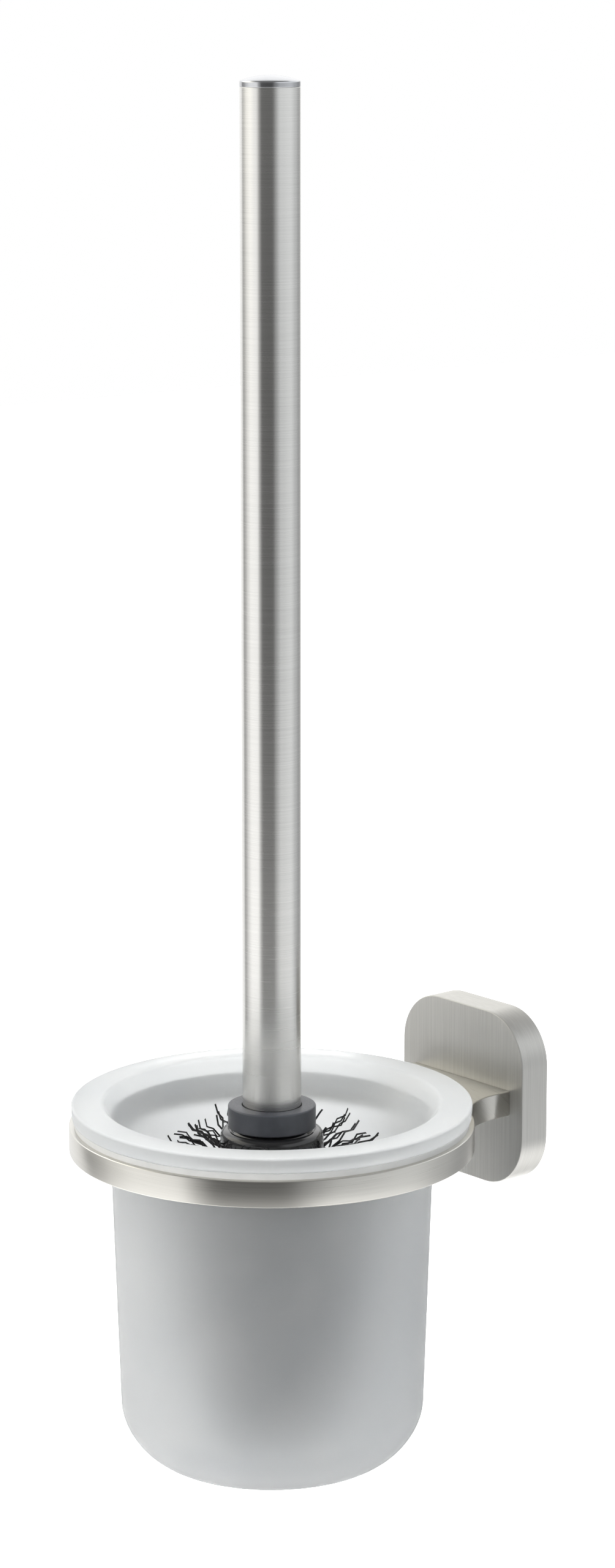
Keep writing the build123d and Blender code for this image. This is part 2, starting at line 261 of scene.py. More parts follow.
# %% [markdown]
# ## Shaping helpers
#
# Most of this object is turned on a lathe or spun. Such a piece can be made like this by hand: add a
# circle, then extrude and scale it ring by ring along the profile, and bevel the rings that are
# rounded. That gives clean quads and exact radii, which a spun curve doesn't always.

# %% Define the shaping helpers
NEAR = 0.01 * MM             # tolerance for picking edges by their place
SAME = 0.002 * MM            # tolerance for picking one ring of a turned piece
MERGE = 0.001 * MM           # vertices closer than this are merged
BEVEL_STEP = 1.5 * MM        # a wide rounding gets one segment for each such length of its radius


def clear():
    """Object mode, with nothing selected."""
    if bpy.context.object and bpy.context.object.mode != "OBJECT":
        bpy.ops.object.mode_set(mode="OBJECT")
    bpy.ops.object.select_all(action="DESELECT")


def select_only(piece):
    """One piece selected and active, in object mode."""
    clear()
    bpy.context.view_layer.objects.active = piece
    piece.select_set(True)


def edit(piece, kind="EDGE"):
    """Edit mode on one piece, with nothing selected."""
    select_only(piece)
    bpy.ops.object.mode_set(mode="EDIT")
    bpy.ops.mesh.select_mode(type=kind)
    bpy.ops.mesh.select_all(action="DESELECT")


def pick(piece, kind, test):
    """Selects the vertices, edges or faces of the piece in edit mode that pass a test."""
    shape = bmesh.from_edit_mesh(piece.data)
    bpy.ops.mesh.select_mode(type=kind)
    bpy.ops.mesh.select_all(action="DESELECT")
    found = {"VERT": shape.verts, "EDGE": shape.edges, "FACE": shape.faces}[kind]
    count = 0
    for element in found:
        if test(element):
            element.select_set(True)
            count += 1
    shape.select_flush_mode()
    bmesh.update_edit_mesh(piece.data)
    return count


def place_in_mesh(piece):
    """Moves the piece's origin to the scene's origin."""
    select_only(piece)
    bpy.ops.object.transform_apply(location=True, rotation=True, scale=True)


def settle(piece, name, smooth_angle=32.0):
    """Back to object mode, with the place in the mesh, a name, and soft shading."""
    place_in_mesh(piece)
    piece.name = piece.data.name = name
    bpy.ops.object.shade_smooth_by_angle(angle=math.radians(smooth_angle))
    clear()
    return piece


def merge_and_face_out():
    """Merges what lies in one place and turns every face outwards, in edit mode."""
    bpy.ops.mesh.select_all(action="SELECT")
    bpy.ops.mesh.remove_doubles(threshold=MERGE)
    bpy.ops.mesh.select_all(action="SELECT")
    bpy.ops.mesh.normals_make_consistent(inside=False)


def tangent_length(before, here, after, radius):
    """How far a rounding of that radius reaches along both sides of a corner."""
    a = Vector(here[:2]) - Vector(before[:2])
    b = Vector(after[:2]) - Vector(here[:2])
    return radius * math.tan(a.angle(b) / 2)


def turned(name, rings, sides=128, loop=False, segments=5):
    """A piece turned round the bowl's axis. Each ring is (radius, height, rounding), in metres.

    A loop joins the last ring to the first. A ring of radius 0 closes the shape in a pole."""
    clear()
    first = 1 if rings[0][0] == 0 else 0
    radius, height, _ = rings[first]
    bpy.ops.mesh.primitive_circle_add(vertices=sides, radius=radius, location=(0, AXIS_Y, height))
    piece = bpy.context.object
    place_in_mesh(piece)
    edit(piece)
    bpy.ops.mesh.select_all(action="SELECT")
    path = list(rings[first + 1:]) + ([rings[0]] if loop else [])
    for next_radius, next_height, _ in path:
        bpy.ops.mesh.extrude_edges_move(TRANSFORM_OT_translate={"value": (0, 0, next_height - height)})
        if next_radius == 0:
            bpy.ops.mesh.merge(type="CENTER")
        else:
            scale = next_radius / radius
            bpy.ops.transform.resize(value=(scale, scale, 1), center_override=(0, AXIS_Y, next_height))
        radius, height = next_radius, next_height
    if first:
        pick(piece, "EDGE", lambda edge: len(edge.link_faces) == 1)
        rise = rings[0][1] - rings[1][1]
        bpy.ops.mesh.extrude_edges_move(TRANSFORM_OT_translate={"value": (0, 0, rise)})
        bpy.ops.mesh.merge(type="CENTER")
    merge_and_face_out()
    for at, (ring_radius, ring_height, rounding) in enumerate(rings):
        if rounding > 0:
            reach = tangent_length(rings[at - 1], rings[at], rings[(at + 1) % len(rings)], rounding)
            pick(piece, "EDGE", lambda edge: all(
                abs(v.co.z - ring_height) < SAME
                and abs(math.hypot(v.co.x, v.co.y - AXIS_Y) - ring_radius) < SAME for v in edge.verts))
            steps = max(segments, round(rounding / BEVEL_STEP))
            bpy.ops.mesh.bevel(offset=reach, offset_type="OFFSET", segments=steps, profile=0.5)
    piece = settle(piece, name)
    print(name, len(piece.data.polygons), "faces, bottom and top at",
          in_mm((piece.bound_box[0][2], piece.bound_box[1][2])), "mm")
    return piece


print("a 90 degree corner rounded by 1 mm starts",
      round(tangent_length((0, 0, 0), (1, 0, 0), (1, 1, 0), 1.0), 2), "mm from the corner")

# %% [markdown]
# ## Brushed stainless steel, turned parts
#
# The tube and the ring are 1.4301 stainless steel, brushed with a 240-grit belt while they turn, so
# fine hairlines run round them. The eye sees highlights drawn out along the axis, and thin streaks
# across it. Real hairlines are about 0.05 mm apart, too fine to show, so they are drawn 0.22 mm
# apart. A coordinate that grows with the radius and the height gives streaks round every face.

# %% Make the turned steel
# A noise stays mostly between LOW_END and HIGH_END, so that part of its range is used.
HAIRLINE = 0.22 * MM         # drawn spacing of the hairlines
STREAK = 30 * MM             # how long one streak stays alike
BROAD = 0.13                 # the scale of the broad streaks against the hairlines
BROAD_SHARE = 0.10           # how much of the tone comes from the broad streaks
GROOVE_BUMP, GROOVE_DEPTH = 0.22, 0.004 * MM
LOW_END, HIGH_END = 0.30, 0.70


def surface_place(tree):
    """Object position measured from the bowl's axis, with its radius."""
    place = add(tree, "VectorMath", {0: add(tree, "TexCoord").outputs["Object"], 1: (0, -AXIS_Y, 0)},
                operation="ADD").outputs[0]
    flat = add(tree, "VectorMath", {0: place, 1: (1, 1, 0)}, operation="MULTIPLY").outputs[0]
    radius = add(tree, "VectorMath", {0: flat}, operation="LENGTH").outputs["Value"]
    return place, flat, radius


def two_tones(tree, shader, value, tones, start, end):
    """Base colour between two hex colours by a noise value."""
    tone = add(tree, "ValToRGB", {0: value})
    for stop, position, hex_code in zip(tone.color_ramp.elements, (start, end), tones):
        stop.position, stop.color = position, colour(hex_code)
    tree.links.new(tone.outputs[0], shader.inputs["Base Color"])


def rough_and_bump(tree, shader, value, roughness, height, strength, depth):
    """Roughness in a range by a noise value, and bump from a height."""
    rough = add(tree, "MapRange", {
        0: value, 1: LOW_END, 2: HIGH_END, 3: roughness[0], 4: roughness[1]})
    tree.links.new(rough.outputs[0], shader.inputs["Roughness"])
    bump = add(tree, "Bump", {"Height": height, "Strength": strength, "Distance": depth})
    tree.links.new(bump.outputs[0], shader.inputs["Normal"])


def steel_finish(tree, shader, pattern, dark, light, roughness):
    """Colour, roughness and bump of a brushed face from a stretched coordinate."""
    fine = add(tree, "TexNoise", {"Vector": pattern, "Scale": 1.0, "Detail": 3.0, "Roughness": 0.6})
    broad = add(tree, "TexNoise", {"Vector": pattern, "Scale": BROAD, "Detail": 2.0, "Roughness": 0.5})
    mixed = add(tree, "Mix", {0: BROAD_SHARE, 2: fine.outputs[0], 3: broad.outputs[0]},
                data_type="FLOAT").outputs[0]
    two_tones(tree, shader, mixed, (dark, light), LOW_END, HIGH_END)
    rough_and_bump(tree, shader, mixed, roughness, fine.outputs[0], GROOVE_BUMP, GROOVE_DEPTH)


def turned_steel(name, dark, light, roughness, anisotropy):
    """Stainless steel brushed round the axis."""
    made, tree, shader = new_material(name, {"Metallic": 1.0, "Anisotropic": anisotropy})
    place, flat, radius = surface_place(tree)
    parts = add(tree, "SeparateXYZ", {0: place})
    across = add(tree, "Math", {0: radius, 1: parts.outputs[2]}, operation="ADD")
    fast = add(tree, "Math", {0: across.outputs[0], 1: 1 / HAIRLINE}, operation="MULTIPLY")
    slow = add(tree, "VectorMath", {0: flat, "Scale": 1 / STREAK}, operation="SCALE")
    slow = add(tree, "SeparateXYZ", {0: slow.outputs[0]})
    pattern = add(tree, "CombineXYZ", {0: slow.outputs[0], 1: slow.outputs[1], 2: fast.outputs[0]})
    steel_finish(tree, shader, pattern.outputs[0], dark, light, roughness)
    normal = add(tree, "NewGeometry").outputs["Normal"]
    hairs = add(tree, "VectorMath", {0: (0, 0, 1), 1: flat}, operation="CROSS_PRODUCT").outputs[0]
    wide = add(tree, "VectorMath", {0: hairs, 1: normal}, operation="CROSS_PRODUCT").outputs[0]
    tree.links.new(add(tree, "VectorMath", {0: wide}, operation="NORMALIZE").outputs[0],
                   shader.inputs["Tangent"])
    return made


tube_steel = turned_steel("brushed_stainless_tube", "#D4D3D0", "#DEDDDA", (0.23, 0.28), 0.80)
ring_steel = turned_steel("brushed_stainless_ring", "#C8C6C0", "#D1CFC9", (0.27, 0.31), 0.70)
print("hairlines every", HAIRLINE / MM, "mm")

# %% [markdown]
# ## Brushed stainless steel, flat plate
#
# The plate's face is brushed straight up and down, and its rim along its edge. So the streaks run by
# X on the face and by Y on the rim, and the surface normal chooses between them.

# %% Make the plate steel
def plate_steel():
    """Stainless steel with upright hairlines on the face and hairlines along the rim."""
    made, tree, shader = new_material(
        "brushed_stainless_plate", {"Metallic": 1.0, "Anisotropic": 0.65})
    place = add(tree, "SeparateXYZ", {0: add(tree, "TexCoord").outputs["Object"]})
    normal = add(tree, "SeparateXYZ", {0: add(tree, "NewGeometry").outputs["Normal"]})
    face = add(tree, "Math", {0: normal.outputs[1]}, operation="ABSOLUTE").outputs[0]
    rim = add(tree, "Math", {0: 1.0, 1: face}, operation="SUBTRACT").outputs[0]
    x_scale = add(tree, "MapRange", {0: face, 3: 1 / STREAK, 4: 1 / HAIRLINE}).outputs[0]
    y_scale = add(tree, "MapRange", {0: rim, 3: 1 / STREAK, 4: 1 / HAIRLINE}).outputs[0]
    x = add(tree, "Math", {0: place.outputs[0], 1: x_scale}, operation="MULTIPLY").outputs[0]
    y = add(tree, "Math", {0: place.outputs[1], 1: y_scale}, operation="MULTIPLY").outputs[0]
    z = add(tree, "Math", {0: place.outputs[2], 1: 1 / STREAK}, operation="MULTIPLY").outputs[0]
    pattern = add(tree, "CombineXYZ", {0: x, 1: y, 2: z})
    steel_finish(tree, shader, pattern.outputs[0], "#C8C7C3", "#DAD9D5", (0.48, 0.54))
    wide = add(tree, "CombineXYZ", {0: face, 1: rim})
    tree.links.new(wide.outputs[0], shader.inputs["Tangent"])
    return made


cover_steel = plate_steel()
print(cover_steel.name, "has", len(cover_steel.node_tree.nodes), "nodes")

# %% [markdown]
# ## Satin-etched glass
#
# The bowl is pressed soda-lime glass with an acid-etched, satin surface. Light goes in but is
# scattered at once, so the brush behind it shows only as a soft shadow, and the glass itself looks
# like cool white frost. Part of the light passes through a rough surface, and the rest is scattered
# back like from white paint.

# %% Make the glass
ETCH_GRAIN, ETCH_CLOUD = 0.8 * MM, 22 * MM
ETCH_BUMP, ETCH_DEPTH = 0.08, 0.02 * MM


def etched_glass():
    """Frosted glass: rough transmission with some white scatter, and a fine etched grain."""
    made, tree, shader = new_material("satin_etched_glass", {"IOR": 1.52, "Transmission Weight": 0.82})
    place = add(tree, "TexCoord").outputs["Object"]
    grain = add(tree, "TexNoise", {"Vector": place, "Scale": 1 / ETCH_GRAIN, "Detail": 2.0})
    cloud = add(tree, "TexNoise", {"Vector": place, "Scale": 1 / ETCH_CLOUD, "Detail": 2.0})
    two_tones(tree, shader, cloud.outputs[0], ("#EEF0F1", "#F5F6F6"), LOW_END, HIGH_END)
    rough_and_bump(
        tree, shader, cloud.outputs[0], (0.52, 0.58), grain.outputs[0], ETCH_BUMP, ETCH_DEPTH)
    return made


glass = etched_glass()
print(glass.name, "with an etched grain of", round(ETCH_GRAIN / MM, 1), "mm")

# %% [markdown]
# ## The other finishes
#
# One function serves the plain finishes. Each has two close tones that drift over the surface, a
# roughness that varies with them, and a grain with the size that its making leaves: moulding
# texture, casting skin or turning marks.

# %% Make the plain finishes
DRIFT = 12                   # size of the drift of the tones against the grain
DRIFT_START, DRIFT_END = 0.32, 0.68
GRAIN_BUMP = 0.3


def plain_finish(name, tones, roughness, grain, depth, values, marks=(1, 1, 1)):
    """A finish with two tones, a roughness range and a grain size in metres."""
    made, tree, shader = new_material(name, values)
    place = add(tree, "VectorMath", {0: add(tree, "TexCoord").outputs["Object"], 1: marks},
                operation="MULTIPLY").outputs[0]
    fine = add(tree, "TexNoise", {"Vector": place, "Scale": 1 / grain, "Detail": 3.0})
    drift = add(tree, "TexNoise", {"Vector": place, "Scale": 1 / (grain * DRIFT), "Detail": 2.0})
    two_tones(tree, shader, drift.outputs[0], tones, DRIFT_START, DRIFT_END)
    rough_and_bump(tree, shader, fine.outputs[0], roughness, fine.outputs[0], GRAIN_BUMP, depth)
    return made


METAL = {"Metallic": 1.0}
# Stainless steel, buffed until it mirrors the room with hardly any haze.
cap_steel = plain_finish("polished_stainless_cap", ("#B9BABD", "#C6C7C9"), (0.12, 0.17), 0.5 * MM,
                         0.0005 * MM, METAL)
# Pale grey polyethylene, injection moulded with a satin texture.
seat_plastic = plain_finish("satin_polyethylene_seat", ("#C6C6C4", "#CECECC"), (0.45, 0.55), 0.6 * MM,
                            0.004 * MM, {"IOR": 1.51})
# Thermoplastic rubber, matt from a spark-eroded mould.
collar_rubber = plain_finish("matt_thermoplastic_rubber", ("#303237", "#393B40"), (0.34, 0.42),
                             0.5 * MM, 0.010 * MM, {"IOR": 1.50})
# Black polypropylene from a polished mould.
head_plastic = plain_finish("gloss_black_polypropylene", ("#0B0B0C", "#121213"), (0.10, 0.16),
                            2.0 * MM, 0.004 * MM,
                            {"IOR": 1.49, "Coat Weight": 0.3, "Coat Roughness": 0.05})
# Extruded nylon filament, smooth and slightly shiny.
bristle_nylon = plain_finish("black_nylon_filament", ("#070708", "#0E0E0F"), (0.38, 0.50), 0.8 * MM,
                             0.002 * MM, {"IOR": 1.53})
# Die-cast aluminium with the fine skin of a steel die.
cast_metal = plain_finish("die_cast_aluminium", ("#9EA0A3", "#B0B2B4"), (0.42, 0.55), 1.2 * MM,
                          0.02 * MM, METAL)
# Zinc-plated steel.
screw_metal = plain_finish("zinc_plated_steel", ("#A8A9A8", "#BFC0BE"), (0.25, 0.38), 0.4 * MM,
                           0.004 * MM, METAL)
# Natural nylon, moulded.
sleeve_nylon = plain_finish("natural_nylon", ("#DCD8CC", "#E6E2D7"), (0.40, 0.52), 0.8 * MM,
                            0.006 * MM, {"IOR": 1.53})
# Free-cutting brass with turning marks, so its pattern is stretched round the axis.
turned_brass = plain_finish("turned_brass", ("#B8923F", "#CDAA58"), (0.22, 0.34), 0.3 * MM, 0.004 * MM,
                            METAL, marks=(0.1, 0.1, 1))
# Nitrile rubber O-ring with a matt moulded skin.
seal_rubber = plain_finish("nitrile_rubber", ("#141415", "#1D1D1E"), (0.55, 0.68), 0.4 * MM,
                           0.006 * MM, {"IOR": 1.52})

CAD_FINISHES = {
    "wall_bracket": cast_metal, "grub_screw": screw_metal, "arm_screw_left": screw_metal,
    "arm_screw_right": screw_metal, "cap_sleeve": sleeve_nylon, "tube_insert": turned_brass,
    "tube_seal": seal_rubber, "stud": screw_metal, "head_nut": turned_brass,
}
for node_name, finish in CAD_FINISHES.items():
    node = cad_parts[node_name]
    node.data.materials.clear()
    node.data.materials.append(finish)
print(len(CAD_FINISHES), "CAD nodes keep their shape and get a finish")

# %% [markdown]
# ## The wall cover
#
# The cover is a drawn steel cup with a square face and large round corners. It is made from a box:
# the four edges that run to the wall are bevelled round, the back is inset and pushed in to hollow
# it, and a fine bevel breaks the edge of the face, where a thin line of light shows. A hole in its
# underside takes the grub screw.

# %% Shape the wall cover
COVER_CORNER, COVER_WALL, COVER_FACE, COVER_EDGE = 14.8 * MM, 1.6 * MM, 2.6 * MM, 0.35 * MM
GRUB_PLAY, DRILL_LENGTH = 0.12 * MM, 6 * MM
clear()
bpy.ops.mesh.primitive_cube_add(size=1, location=(0, FACE_Y / 2, 0),
                                scale=(COVER_SIDE, -FACE_Y, COVER_SIDE))
cover = bpy.context.object
place_in_mesh(cover)
edit(cover)
pick(cover, "EDGE", lambda e: abs(e.verts[0].co.y - e.verts[1].co.y) > 0.5 * -FACE_Y)
bpy.ops.mesh.bevel(offset=COVER_CORNER, offset_type="OFFSET", segments=16)
pick(cover, "FACE", lambda f: f.normal.y > 0.9)
bpy.ops.mesh.inset(thickness=COVER_WALL)
bpy.ops.mesh.extrude_region_move(TRANSFORM_OT_translate={"value": (0, FACE_Y + COVER_FACE, 0)})
pick(cover, "EDGE", lambda e: all(v.co.y < FACE_Y + NEAR for v in e.verts))
bpy.ops.mesh.bevel(offset=COVER_EDGE, offset_type="OFFSET", segments=4)
clear()
grub_low, grub_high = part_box("grub_screw")
grub_y, grub_radius = (grub_low.y + grub_high.y) / 2, (grub_high.x - grub_low.x) / 2
bpy.ops.mesh.primitive_cylinder_add(vertices=32, radius=grub_radius + GRUB_PLAY, depth=DRILL_LENGTH,
                                    location=(0, grub_y, -COVER_SIDE / 2))
drill = bpy.context.object
select_only(cover)
cut = cover.modifiers.new("grub_hole", "BOOLEAN")
cut.object = drill
cut.solver = "EXACT"
bpy.ops.object.modifier_apply(modifier="grub_hole")
bpy.data.objects.remove(drill)
cover = settle(cover, "steel_wall_cover")
cover.data.materials.append(cover_steel)
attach(cover, "wall_holder")
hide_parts("wall_cover")
print("cover", len(cover.data.polygons), "faces,", in_mm(cover.dimensions), "mm")

# %% [markdown]
# ## The arm and the ring
#
# Arm and ring are one steel bar, cut flat and brushed. The outline starts as a circle that is inset
# to make a flat ring. The edges that face the wall are then extruded towards the plate in steps that
# follow a 20 mm hollow, so the arm flows out of the ring. The flat shape is given its thickness, and
# its outer edges are broken with a small bevel that catches the light. The end that stands on the
# plate has one too, and there it shows as the fine dark line of the joint.

# %% Shape the arm and the ring
RING_WIDTH, ARM_HALF, FLANK, BAR_EDGE, ARM_END = 8.9 * MM, 20 * MM, 20 * MM, 0.40 * MM, 0.30 * MM
SIDES, STEPS = 180, 12       # sides of the ring, steps of a hollow
PICK_PLAY = 0.3 * MM         # how far past the hollow's start an edge of the ring is still picked
PLATE_CLEAR = 0.1 * MM       # the long edges are picked up to here before the plate
SHARP = 1.0                  # in radians
clear()
bpy.ops.mesh.primitive_circle_add(vertices=SIDES, radius=RING_RADIUS, fill_type="NGON",
                                  location=(0, AXIS_Y, RING_LOW))
bar = bpy.context.object
place_in_mesh(bar)
edit(bar, "FACE")
bpy.ops.mesh.select_all(action="SELECT")
bpy.ops.mesh.inset(thickness=RING_WIDTH)
bpy.ops.mesh.delete(type="FACE")
hollow_x = ARM_HALF + FLANK
hollow_y = math.sqrt((RING_RADIUS + FLANK) ** 2 - hollow_x ** 2)
touch = math.atan2(hollow_x, hollow_y)
touch_x, touch_y = RING_RADIUS * math.sin(touch), AXIS_Y + RING_RADIUS * math.cos(touch)


def faces_wall(edge):
    """An outline edge of the ring between the two points where the hollows touch it."""
    return all(
        abs(math.hypot(v.co.x, v.co.y - AXIS_Y) - RING_RADIUS) < NEAR
        and abs(v.co.x) < touch_x + PICK_PLAY and v.co.y > AXIS_Y for v in edge.verts)


count = pick(bar, "EDGE", faces_wall)
before = (touch_x, touch_y)
flat_before = 1.0
for step in range(1, STEPS + 1):
    angle = math.pi + (math.pi / 2 - touch) * (1 - step / STEPS)
    here = (hollow_x + FLANK * math.cos(angle), AXIS_Y + hollow_y + FLANK * math.sin(angle))
    flat = 1 - step / STEPS
    bpy.ops.mesh.extrude_edges_move(TRANSFORM_OT_translate={"value": (0, here[1] - before[1], 0)})
    bpy.ops.transform.resize(value=(here[0] / before[0], flat / flat_before if flat else 0.0, 1),
                             center_override=(0, here[1], RING_LOW))
    before, flat_before = here, flat if flat else 1.0
bpy.ops.mesh.extrude_edges_move(TRANSFORM_OT_translate={"value": (0, FACE_Y - before[1], 0)})
bpy.ops.mesh.select_all(action="SELECT")
bpy.ops.mesh.remove_doubles(threshold=MERGE)
bpy.ops.mesh.select_all(action="SELECT")
bpy.ops.mesh.extrude_region_move(TRANSFORM_OT_translate={"value": (0, 0, RING_TOP - RING_LOW)})
bpy.ops.mesh.select_all(action="SELECT")
bpy.ops.mesh.normals_make_consistent(inside=False)


def is_sharp(edge):
    """An edge where two faces meet at a clear angle."""
    return len(edge.link_faces) == 2 and edge.calc_face_angle(0) > SHARP


def outer_rim(edge):
    """A sharp edge round the top or the underside, outside the bore and clear of the plate."""
    middle = (edge.verts[0].co + edge.verts[1].co) / 2
    return (is_sharp(edge) and abs(edge.verts[0].co.z - edge.verts[1].co.z) < SAME
            and middle.y < FACE_Y - PLATE_CLEAR
            and math.hypot(middle.x, middle.y - AXIS_Y) > RING_RADIUS - RING_WIDTH / 2)


def at_plate(edge):
    """A sharp edge of the end that stands on the plate."""
    return is_sharp(edge) and all(v.co.y > FACE_Y - NEAR for v in edge.verts)


print("edges facing the wall:", count, "rim edges:", pick(bar, "EDGE", outer_rim))
bpy.ops.mesh.bevel(offset=BAR_EDGE, offset_type="OFFSET", segments=3)
pick(bar, "EDGE", at_plate)
bpy.ops.mesh.bevel(offset=ARM_END, offset_type="OFFSET", segments=2)
bar = settle(bar, "steel_ring_and_arm", 28)
bar.data.materials.append(ring_steel)
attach(bar, "wall_holder")
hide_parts("holder_ring")
print("ring", len(bar.data.polygons), "faces,", in_mm(bar.dimensions), "mm")

# %% [markdown]
# ## The seat
#
# A pale grey polyethylene ring lies on the steel and lines its bore, so that glass never touches
# metal. Only its outer edge shows, as a thin band under the glass rim.

# %% Turn the seat
SEAT_WALL, SEAT_PLAY, SEAT_EDGE = 1.1 * MM, 0.15 * MM, 0.3 * MM
seat_outer = RING_RADIUS - RING_WIDTH - SEAT_PLAY
seat_inner = seat_outer - SEAT_WALL
seat = turned("plastic_seat", [
    (seat_inner, SEAT_LOW, SEAT_EDGE), (seat_outer, SEAT_LOW, SEAT_EDGE), (seat_outer, RING_TOP, 0),
    (SEAT_RADIUS, RING_TOP, 0), (SEAT_RADIUS, SEAT_TOP, SEAT_EDGE), (seat_inner, SEAT_TOP, SEAT_EDGE),
], sides=144, loop=True, segments=3)
seat.data.materials.append(seat_plastic)
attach(seat, "wall_holder")
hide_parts("seat_ring")

# %% [markdown]
# ## The glass bowl
#
# Pressed glass has an even wall, soft corners and a thick flat rim. The whole section is drawn as
# one line: out along the domed bottom, up the slightly tapered side, round the rim, down the flare
# and along the inside to the middle. Turned round the axis, it becomes one closed solid of glass.

# %% Turn the glass bowl
DOME, WALL, FLOOR, CORNER = 100.0 * MM, 3.6 * MM, 4.5 * MM, 16.5 * MM
BODY_RADIUS, TAPER = 44.4 * MM, 0.032
FOOT_RADIUS = BODY_RADIUS - TAPER * (SEAT_TOP - BOWL_LOW - CORNER / 2)
LIP_WIDTH, FLARE, RIM_DRAFT = 8.6 * MM, 15.5 * MM, 0.3 * MM
RIM_EDGE, LIP_EDGE = 0.7 * MM, 1.5 * MM
DOME_RINGS, FLARE_STEPS = (8 * MM, 16 * MM, 24 * MM), 9


def dome(radius, bottom):
    """Height of the spherical bottom at a radius."""
    return bottom + DOME - math.sqrt(DOME ** 2 - radius ** 2)


inside = BOWL_LOW + FLOOR
flare_low = RIM_TOP - FLARE
straight = BODY_RADIUS - WALL - TAPER * (SEAT_TOP - flare_low)
lip = RIM_RADIUS - LIP_WIDTH
guide = (straight + TAPER * FLARE / 2, RIM_TOP - FLARE / 2)
section = [(0, BOWL_LOW, 0)]
section += [(radius, dome(radius, BOWL_LOW), 0) for radius in DOME_RINGS]
section += [(FOOT_RADIUS, dome(FOOT_RADIUS, BOWL_LOW), CORNER)]
section += [(BODY_RADIUS, SEAT_TOP, RIM_EDGE), (RIM_RADIUS - RIM_DRAFT, SEAT_TOP, RIM_EDGE),
            (RIM_RADIUS, RIM_TOP, RIM_EDGE), (lip, RIM_TOP, LIP_EDGE)]
for step in range(1, FLARE_STEPS + 1):
    t = step / FLARE_STEPS
    section.append((
        (1 - t) ** 2 * lip + 2 * t * (1 - t) * guide[0] + t ** 2 * straight,
        (1 - t) ** 2 * RIM_TOP + 2 * t * (1 - t) * guide[1] + t ** 2 * flare_low, 0))
section.append((FOOT_RADIUS - WALL, dome(FOOT_RADIUS - WALL, inside), CORNER - WALL))
section += [(radius, dome(radius, inside), 0) for radius in reversed(DOME_RINGS)]
section += [(0, inside, 0)]
bowl = turned("frosted_glass_bowl", section, sides=160, segments=5)
bowl.data.materials.append(glass)
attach(bowl, "bowl")
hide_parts("glass_bowl")

# %% [markdown]
# ## The handle tube and its cap
#
# The handle is a cut length of 16 mm steel tube with a polished plug in its upper end. Tube and plug
# both have a tiny rounding where they meet, and that makes the thin dark line round the joint.

# %% Turn the tube and the cap
TUBE_WALL, CUT_EDGE = 1.0 * MM, 0.18 * MM
TUBE_BORE = TUBE_RADIUS - TUBE_WALL
tube = turned("steel_handle_tube", [
    (TUBE_BORE, TUBE_BOTTOM, CUT_EDGE), (TUBE_RADIUS, TUBE_BOTTOM, CUT_EDGE),
    (TUBE_RADIUS, TUBE_TOP, CUT_EDGE), (TUBE_BORE, TUBE_TOP, CUT_EDGE),
], sides=96, loop=True, segments=3)
tube.data.materials.append(tube_steel)
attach(tube, "handle")
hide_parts("handle_tube")

SPIGOT, SPIGOT_EDGE, CAP_EDGE = 5.6 * MM, 0.5 * MM, 0.6 * MM
SPIGOT_END = TUBE_TOP - 9 * MM
CAP_RIM = 1.6 * MM           # straight part of the cap's side, under its domed top
CROWN_RINGS = (6.4 * MM, 4.8 * MM, 3.2 * MM, 1.6 * MM)
crown = CAP_TOP - TUBE_TOP - CAP_RIM
cap = turned("polished_end_cap", [
    (0, SPIGOT_END, 0), (SPIGOT, SPIGOT_END, SPIGOT_EDGE), (SPIGOT, TUBE_TOP, 0),
    (TUBE_RADIUS, TUBE_TOP, CUT_EDGE), (TUBE_RADIUS, TUBE_TOP + CAP_RIM, CAP_EDGE),
    *[(radius, CAP_TOP - crown * (radius / TUBE_RADIUS) ** 2, 0) for radius in CROWN_RINGS],
    (0, CAP_TOP, 0),
], sides=96, segments=4)
cap.data.materials.append(cap_steel)
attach(cap, "handle")
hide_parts("end_cap")

# %% [markdown]
# ## The collar and the brush head
#
# The collar is a thick rubber washer that the tube stands in. Under it sits the shoulder of the
# brush head, black plastic from a polished mould, with a rounded rim and a turned groove that
# show as bright lines. The core below it carries the bristles and is bored for the brass nut.

# %% Turn the collar and the head
STUD_HOLE, RECESS_PLAY = 4.2 * MM, 0.15 * MM
LOW_EDGE, TOP_EDGE, RECESS_EDGE = 0.4 * MM, 0.45 * MM, 0.25 * MM
RECESS = TUBE_RADIUS + RECESS_PLAY
collar = turned("rubber_collar", [
    (STUD_HOLE, COLLAR_LOW, 0), (COLLAR_RADIUS, COLLAR_LOW, LOW_EDGE),
    (COLLAR_RADIUS, COLLAR_TOP, TOP_EDGE), (RECESS, COLLAR_TOP, RECESS_EDGE),
    (RECESS, TUBE_BOTTOM, 0), (STUD_HOLE, TUBE_BOTTOM, 0),
], sides=112, loop=True, segments=4)
collar.data.materials.append(collar_rubber)
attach(collar, "handle")
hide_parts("collar")

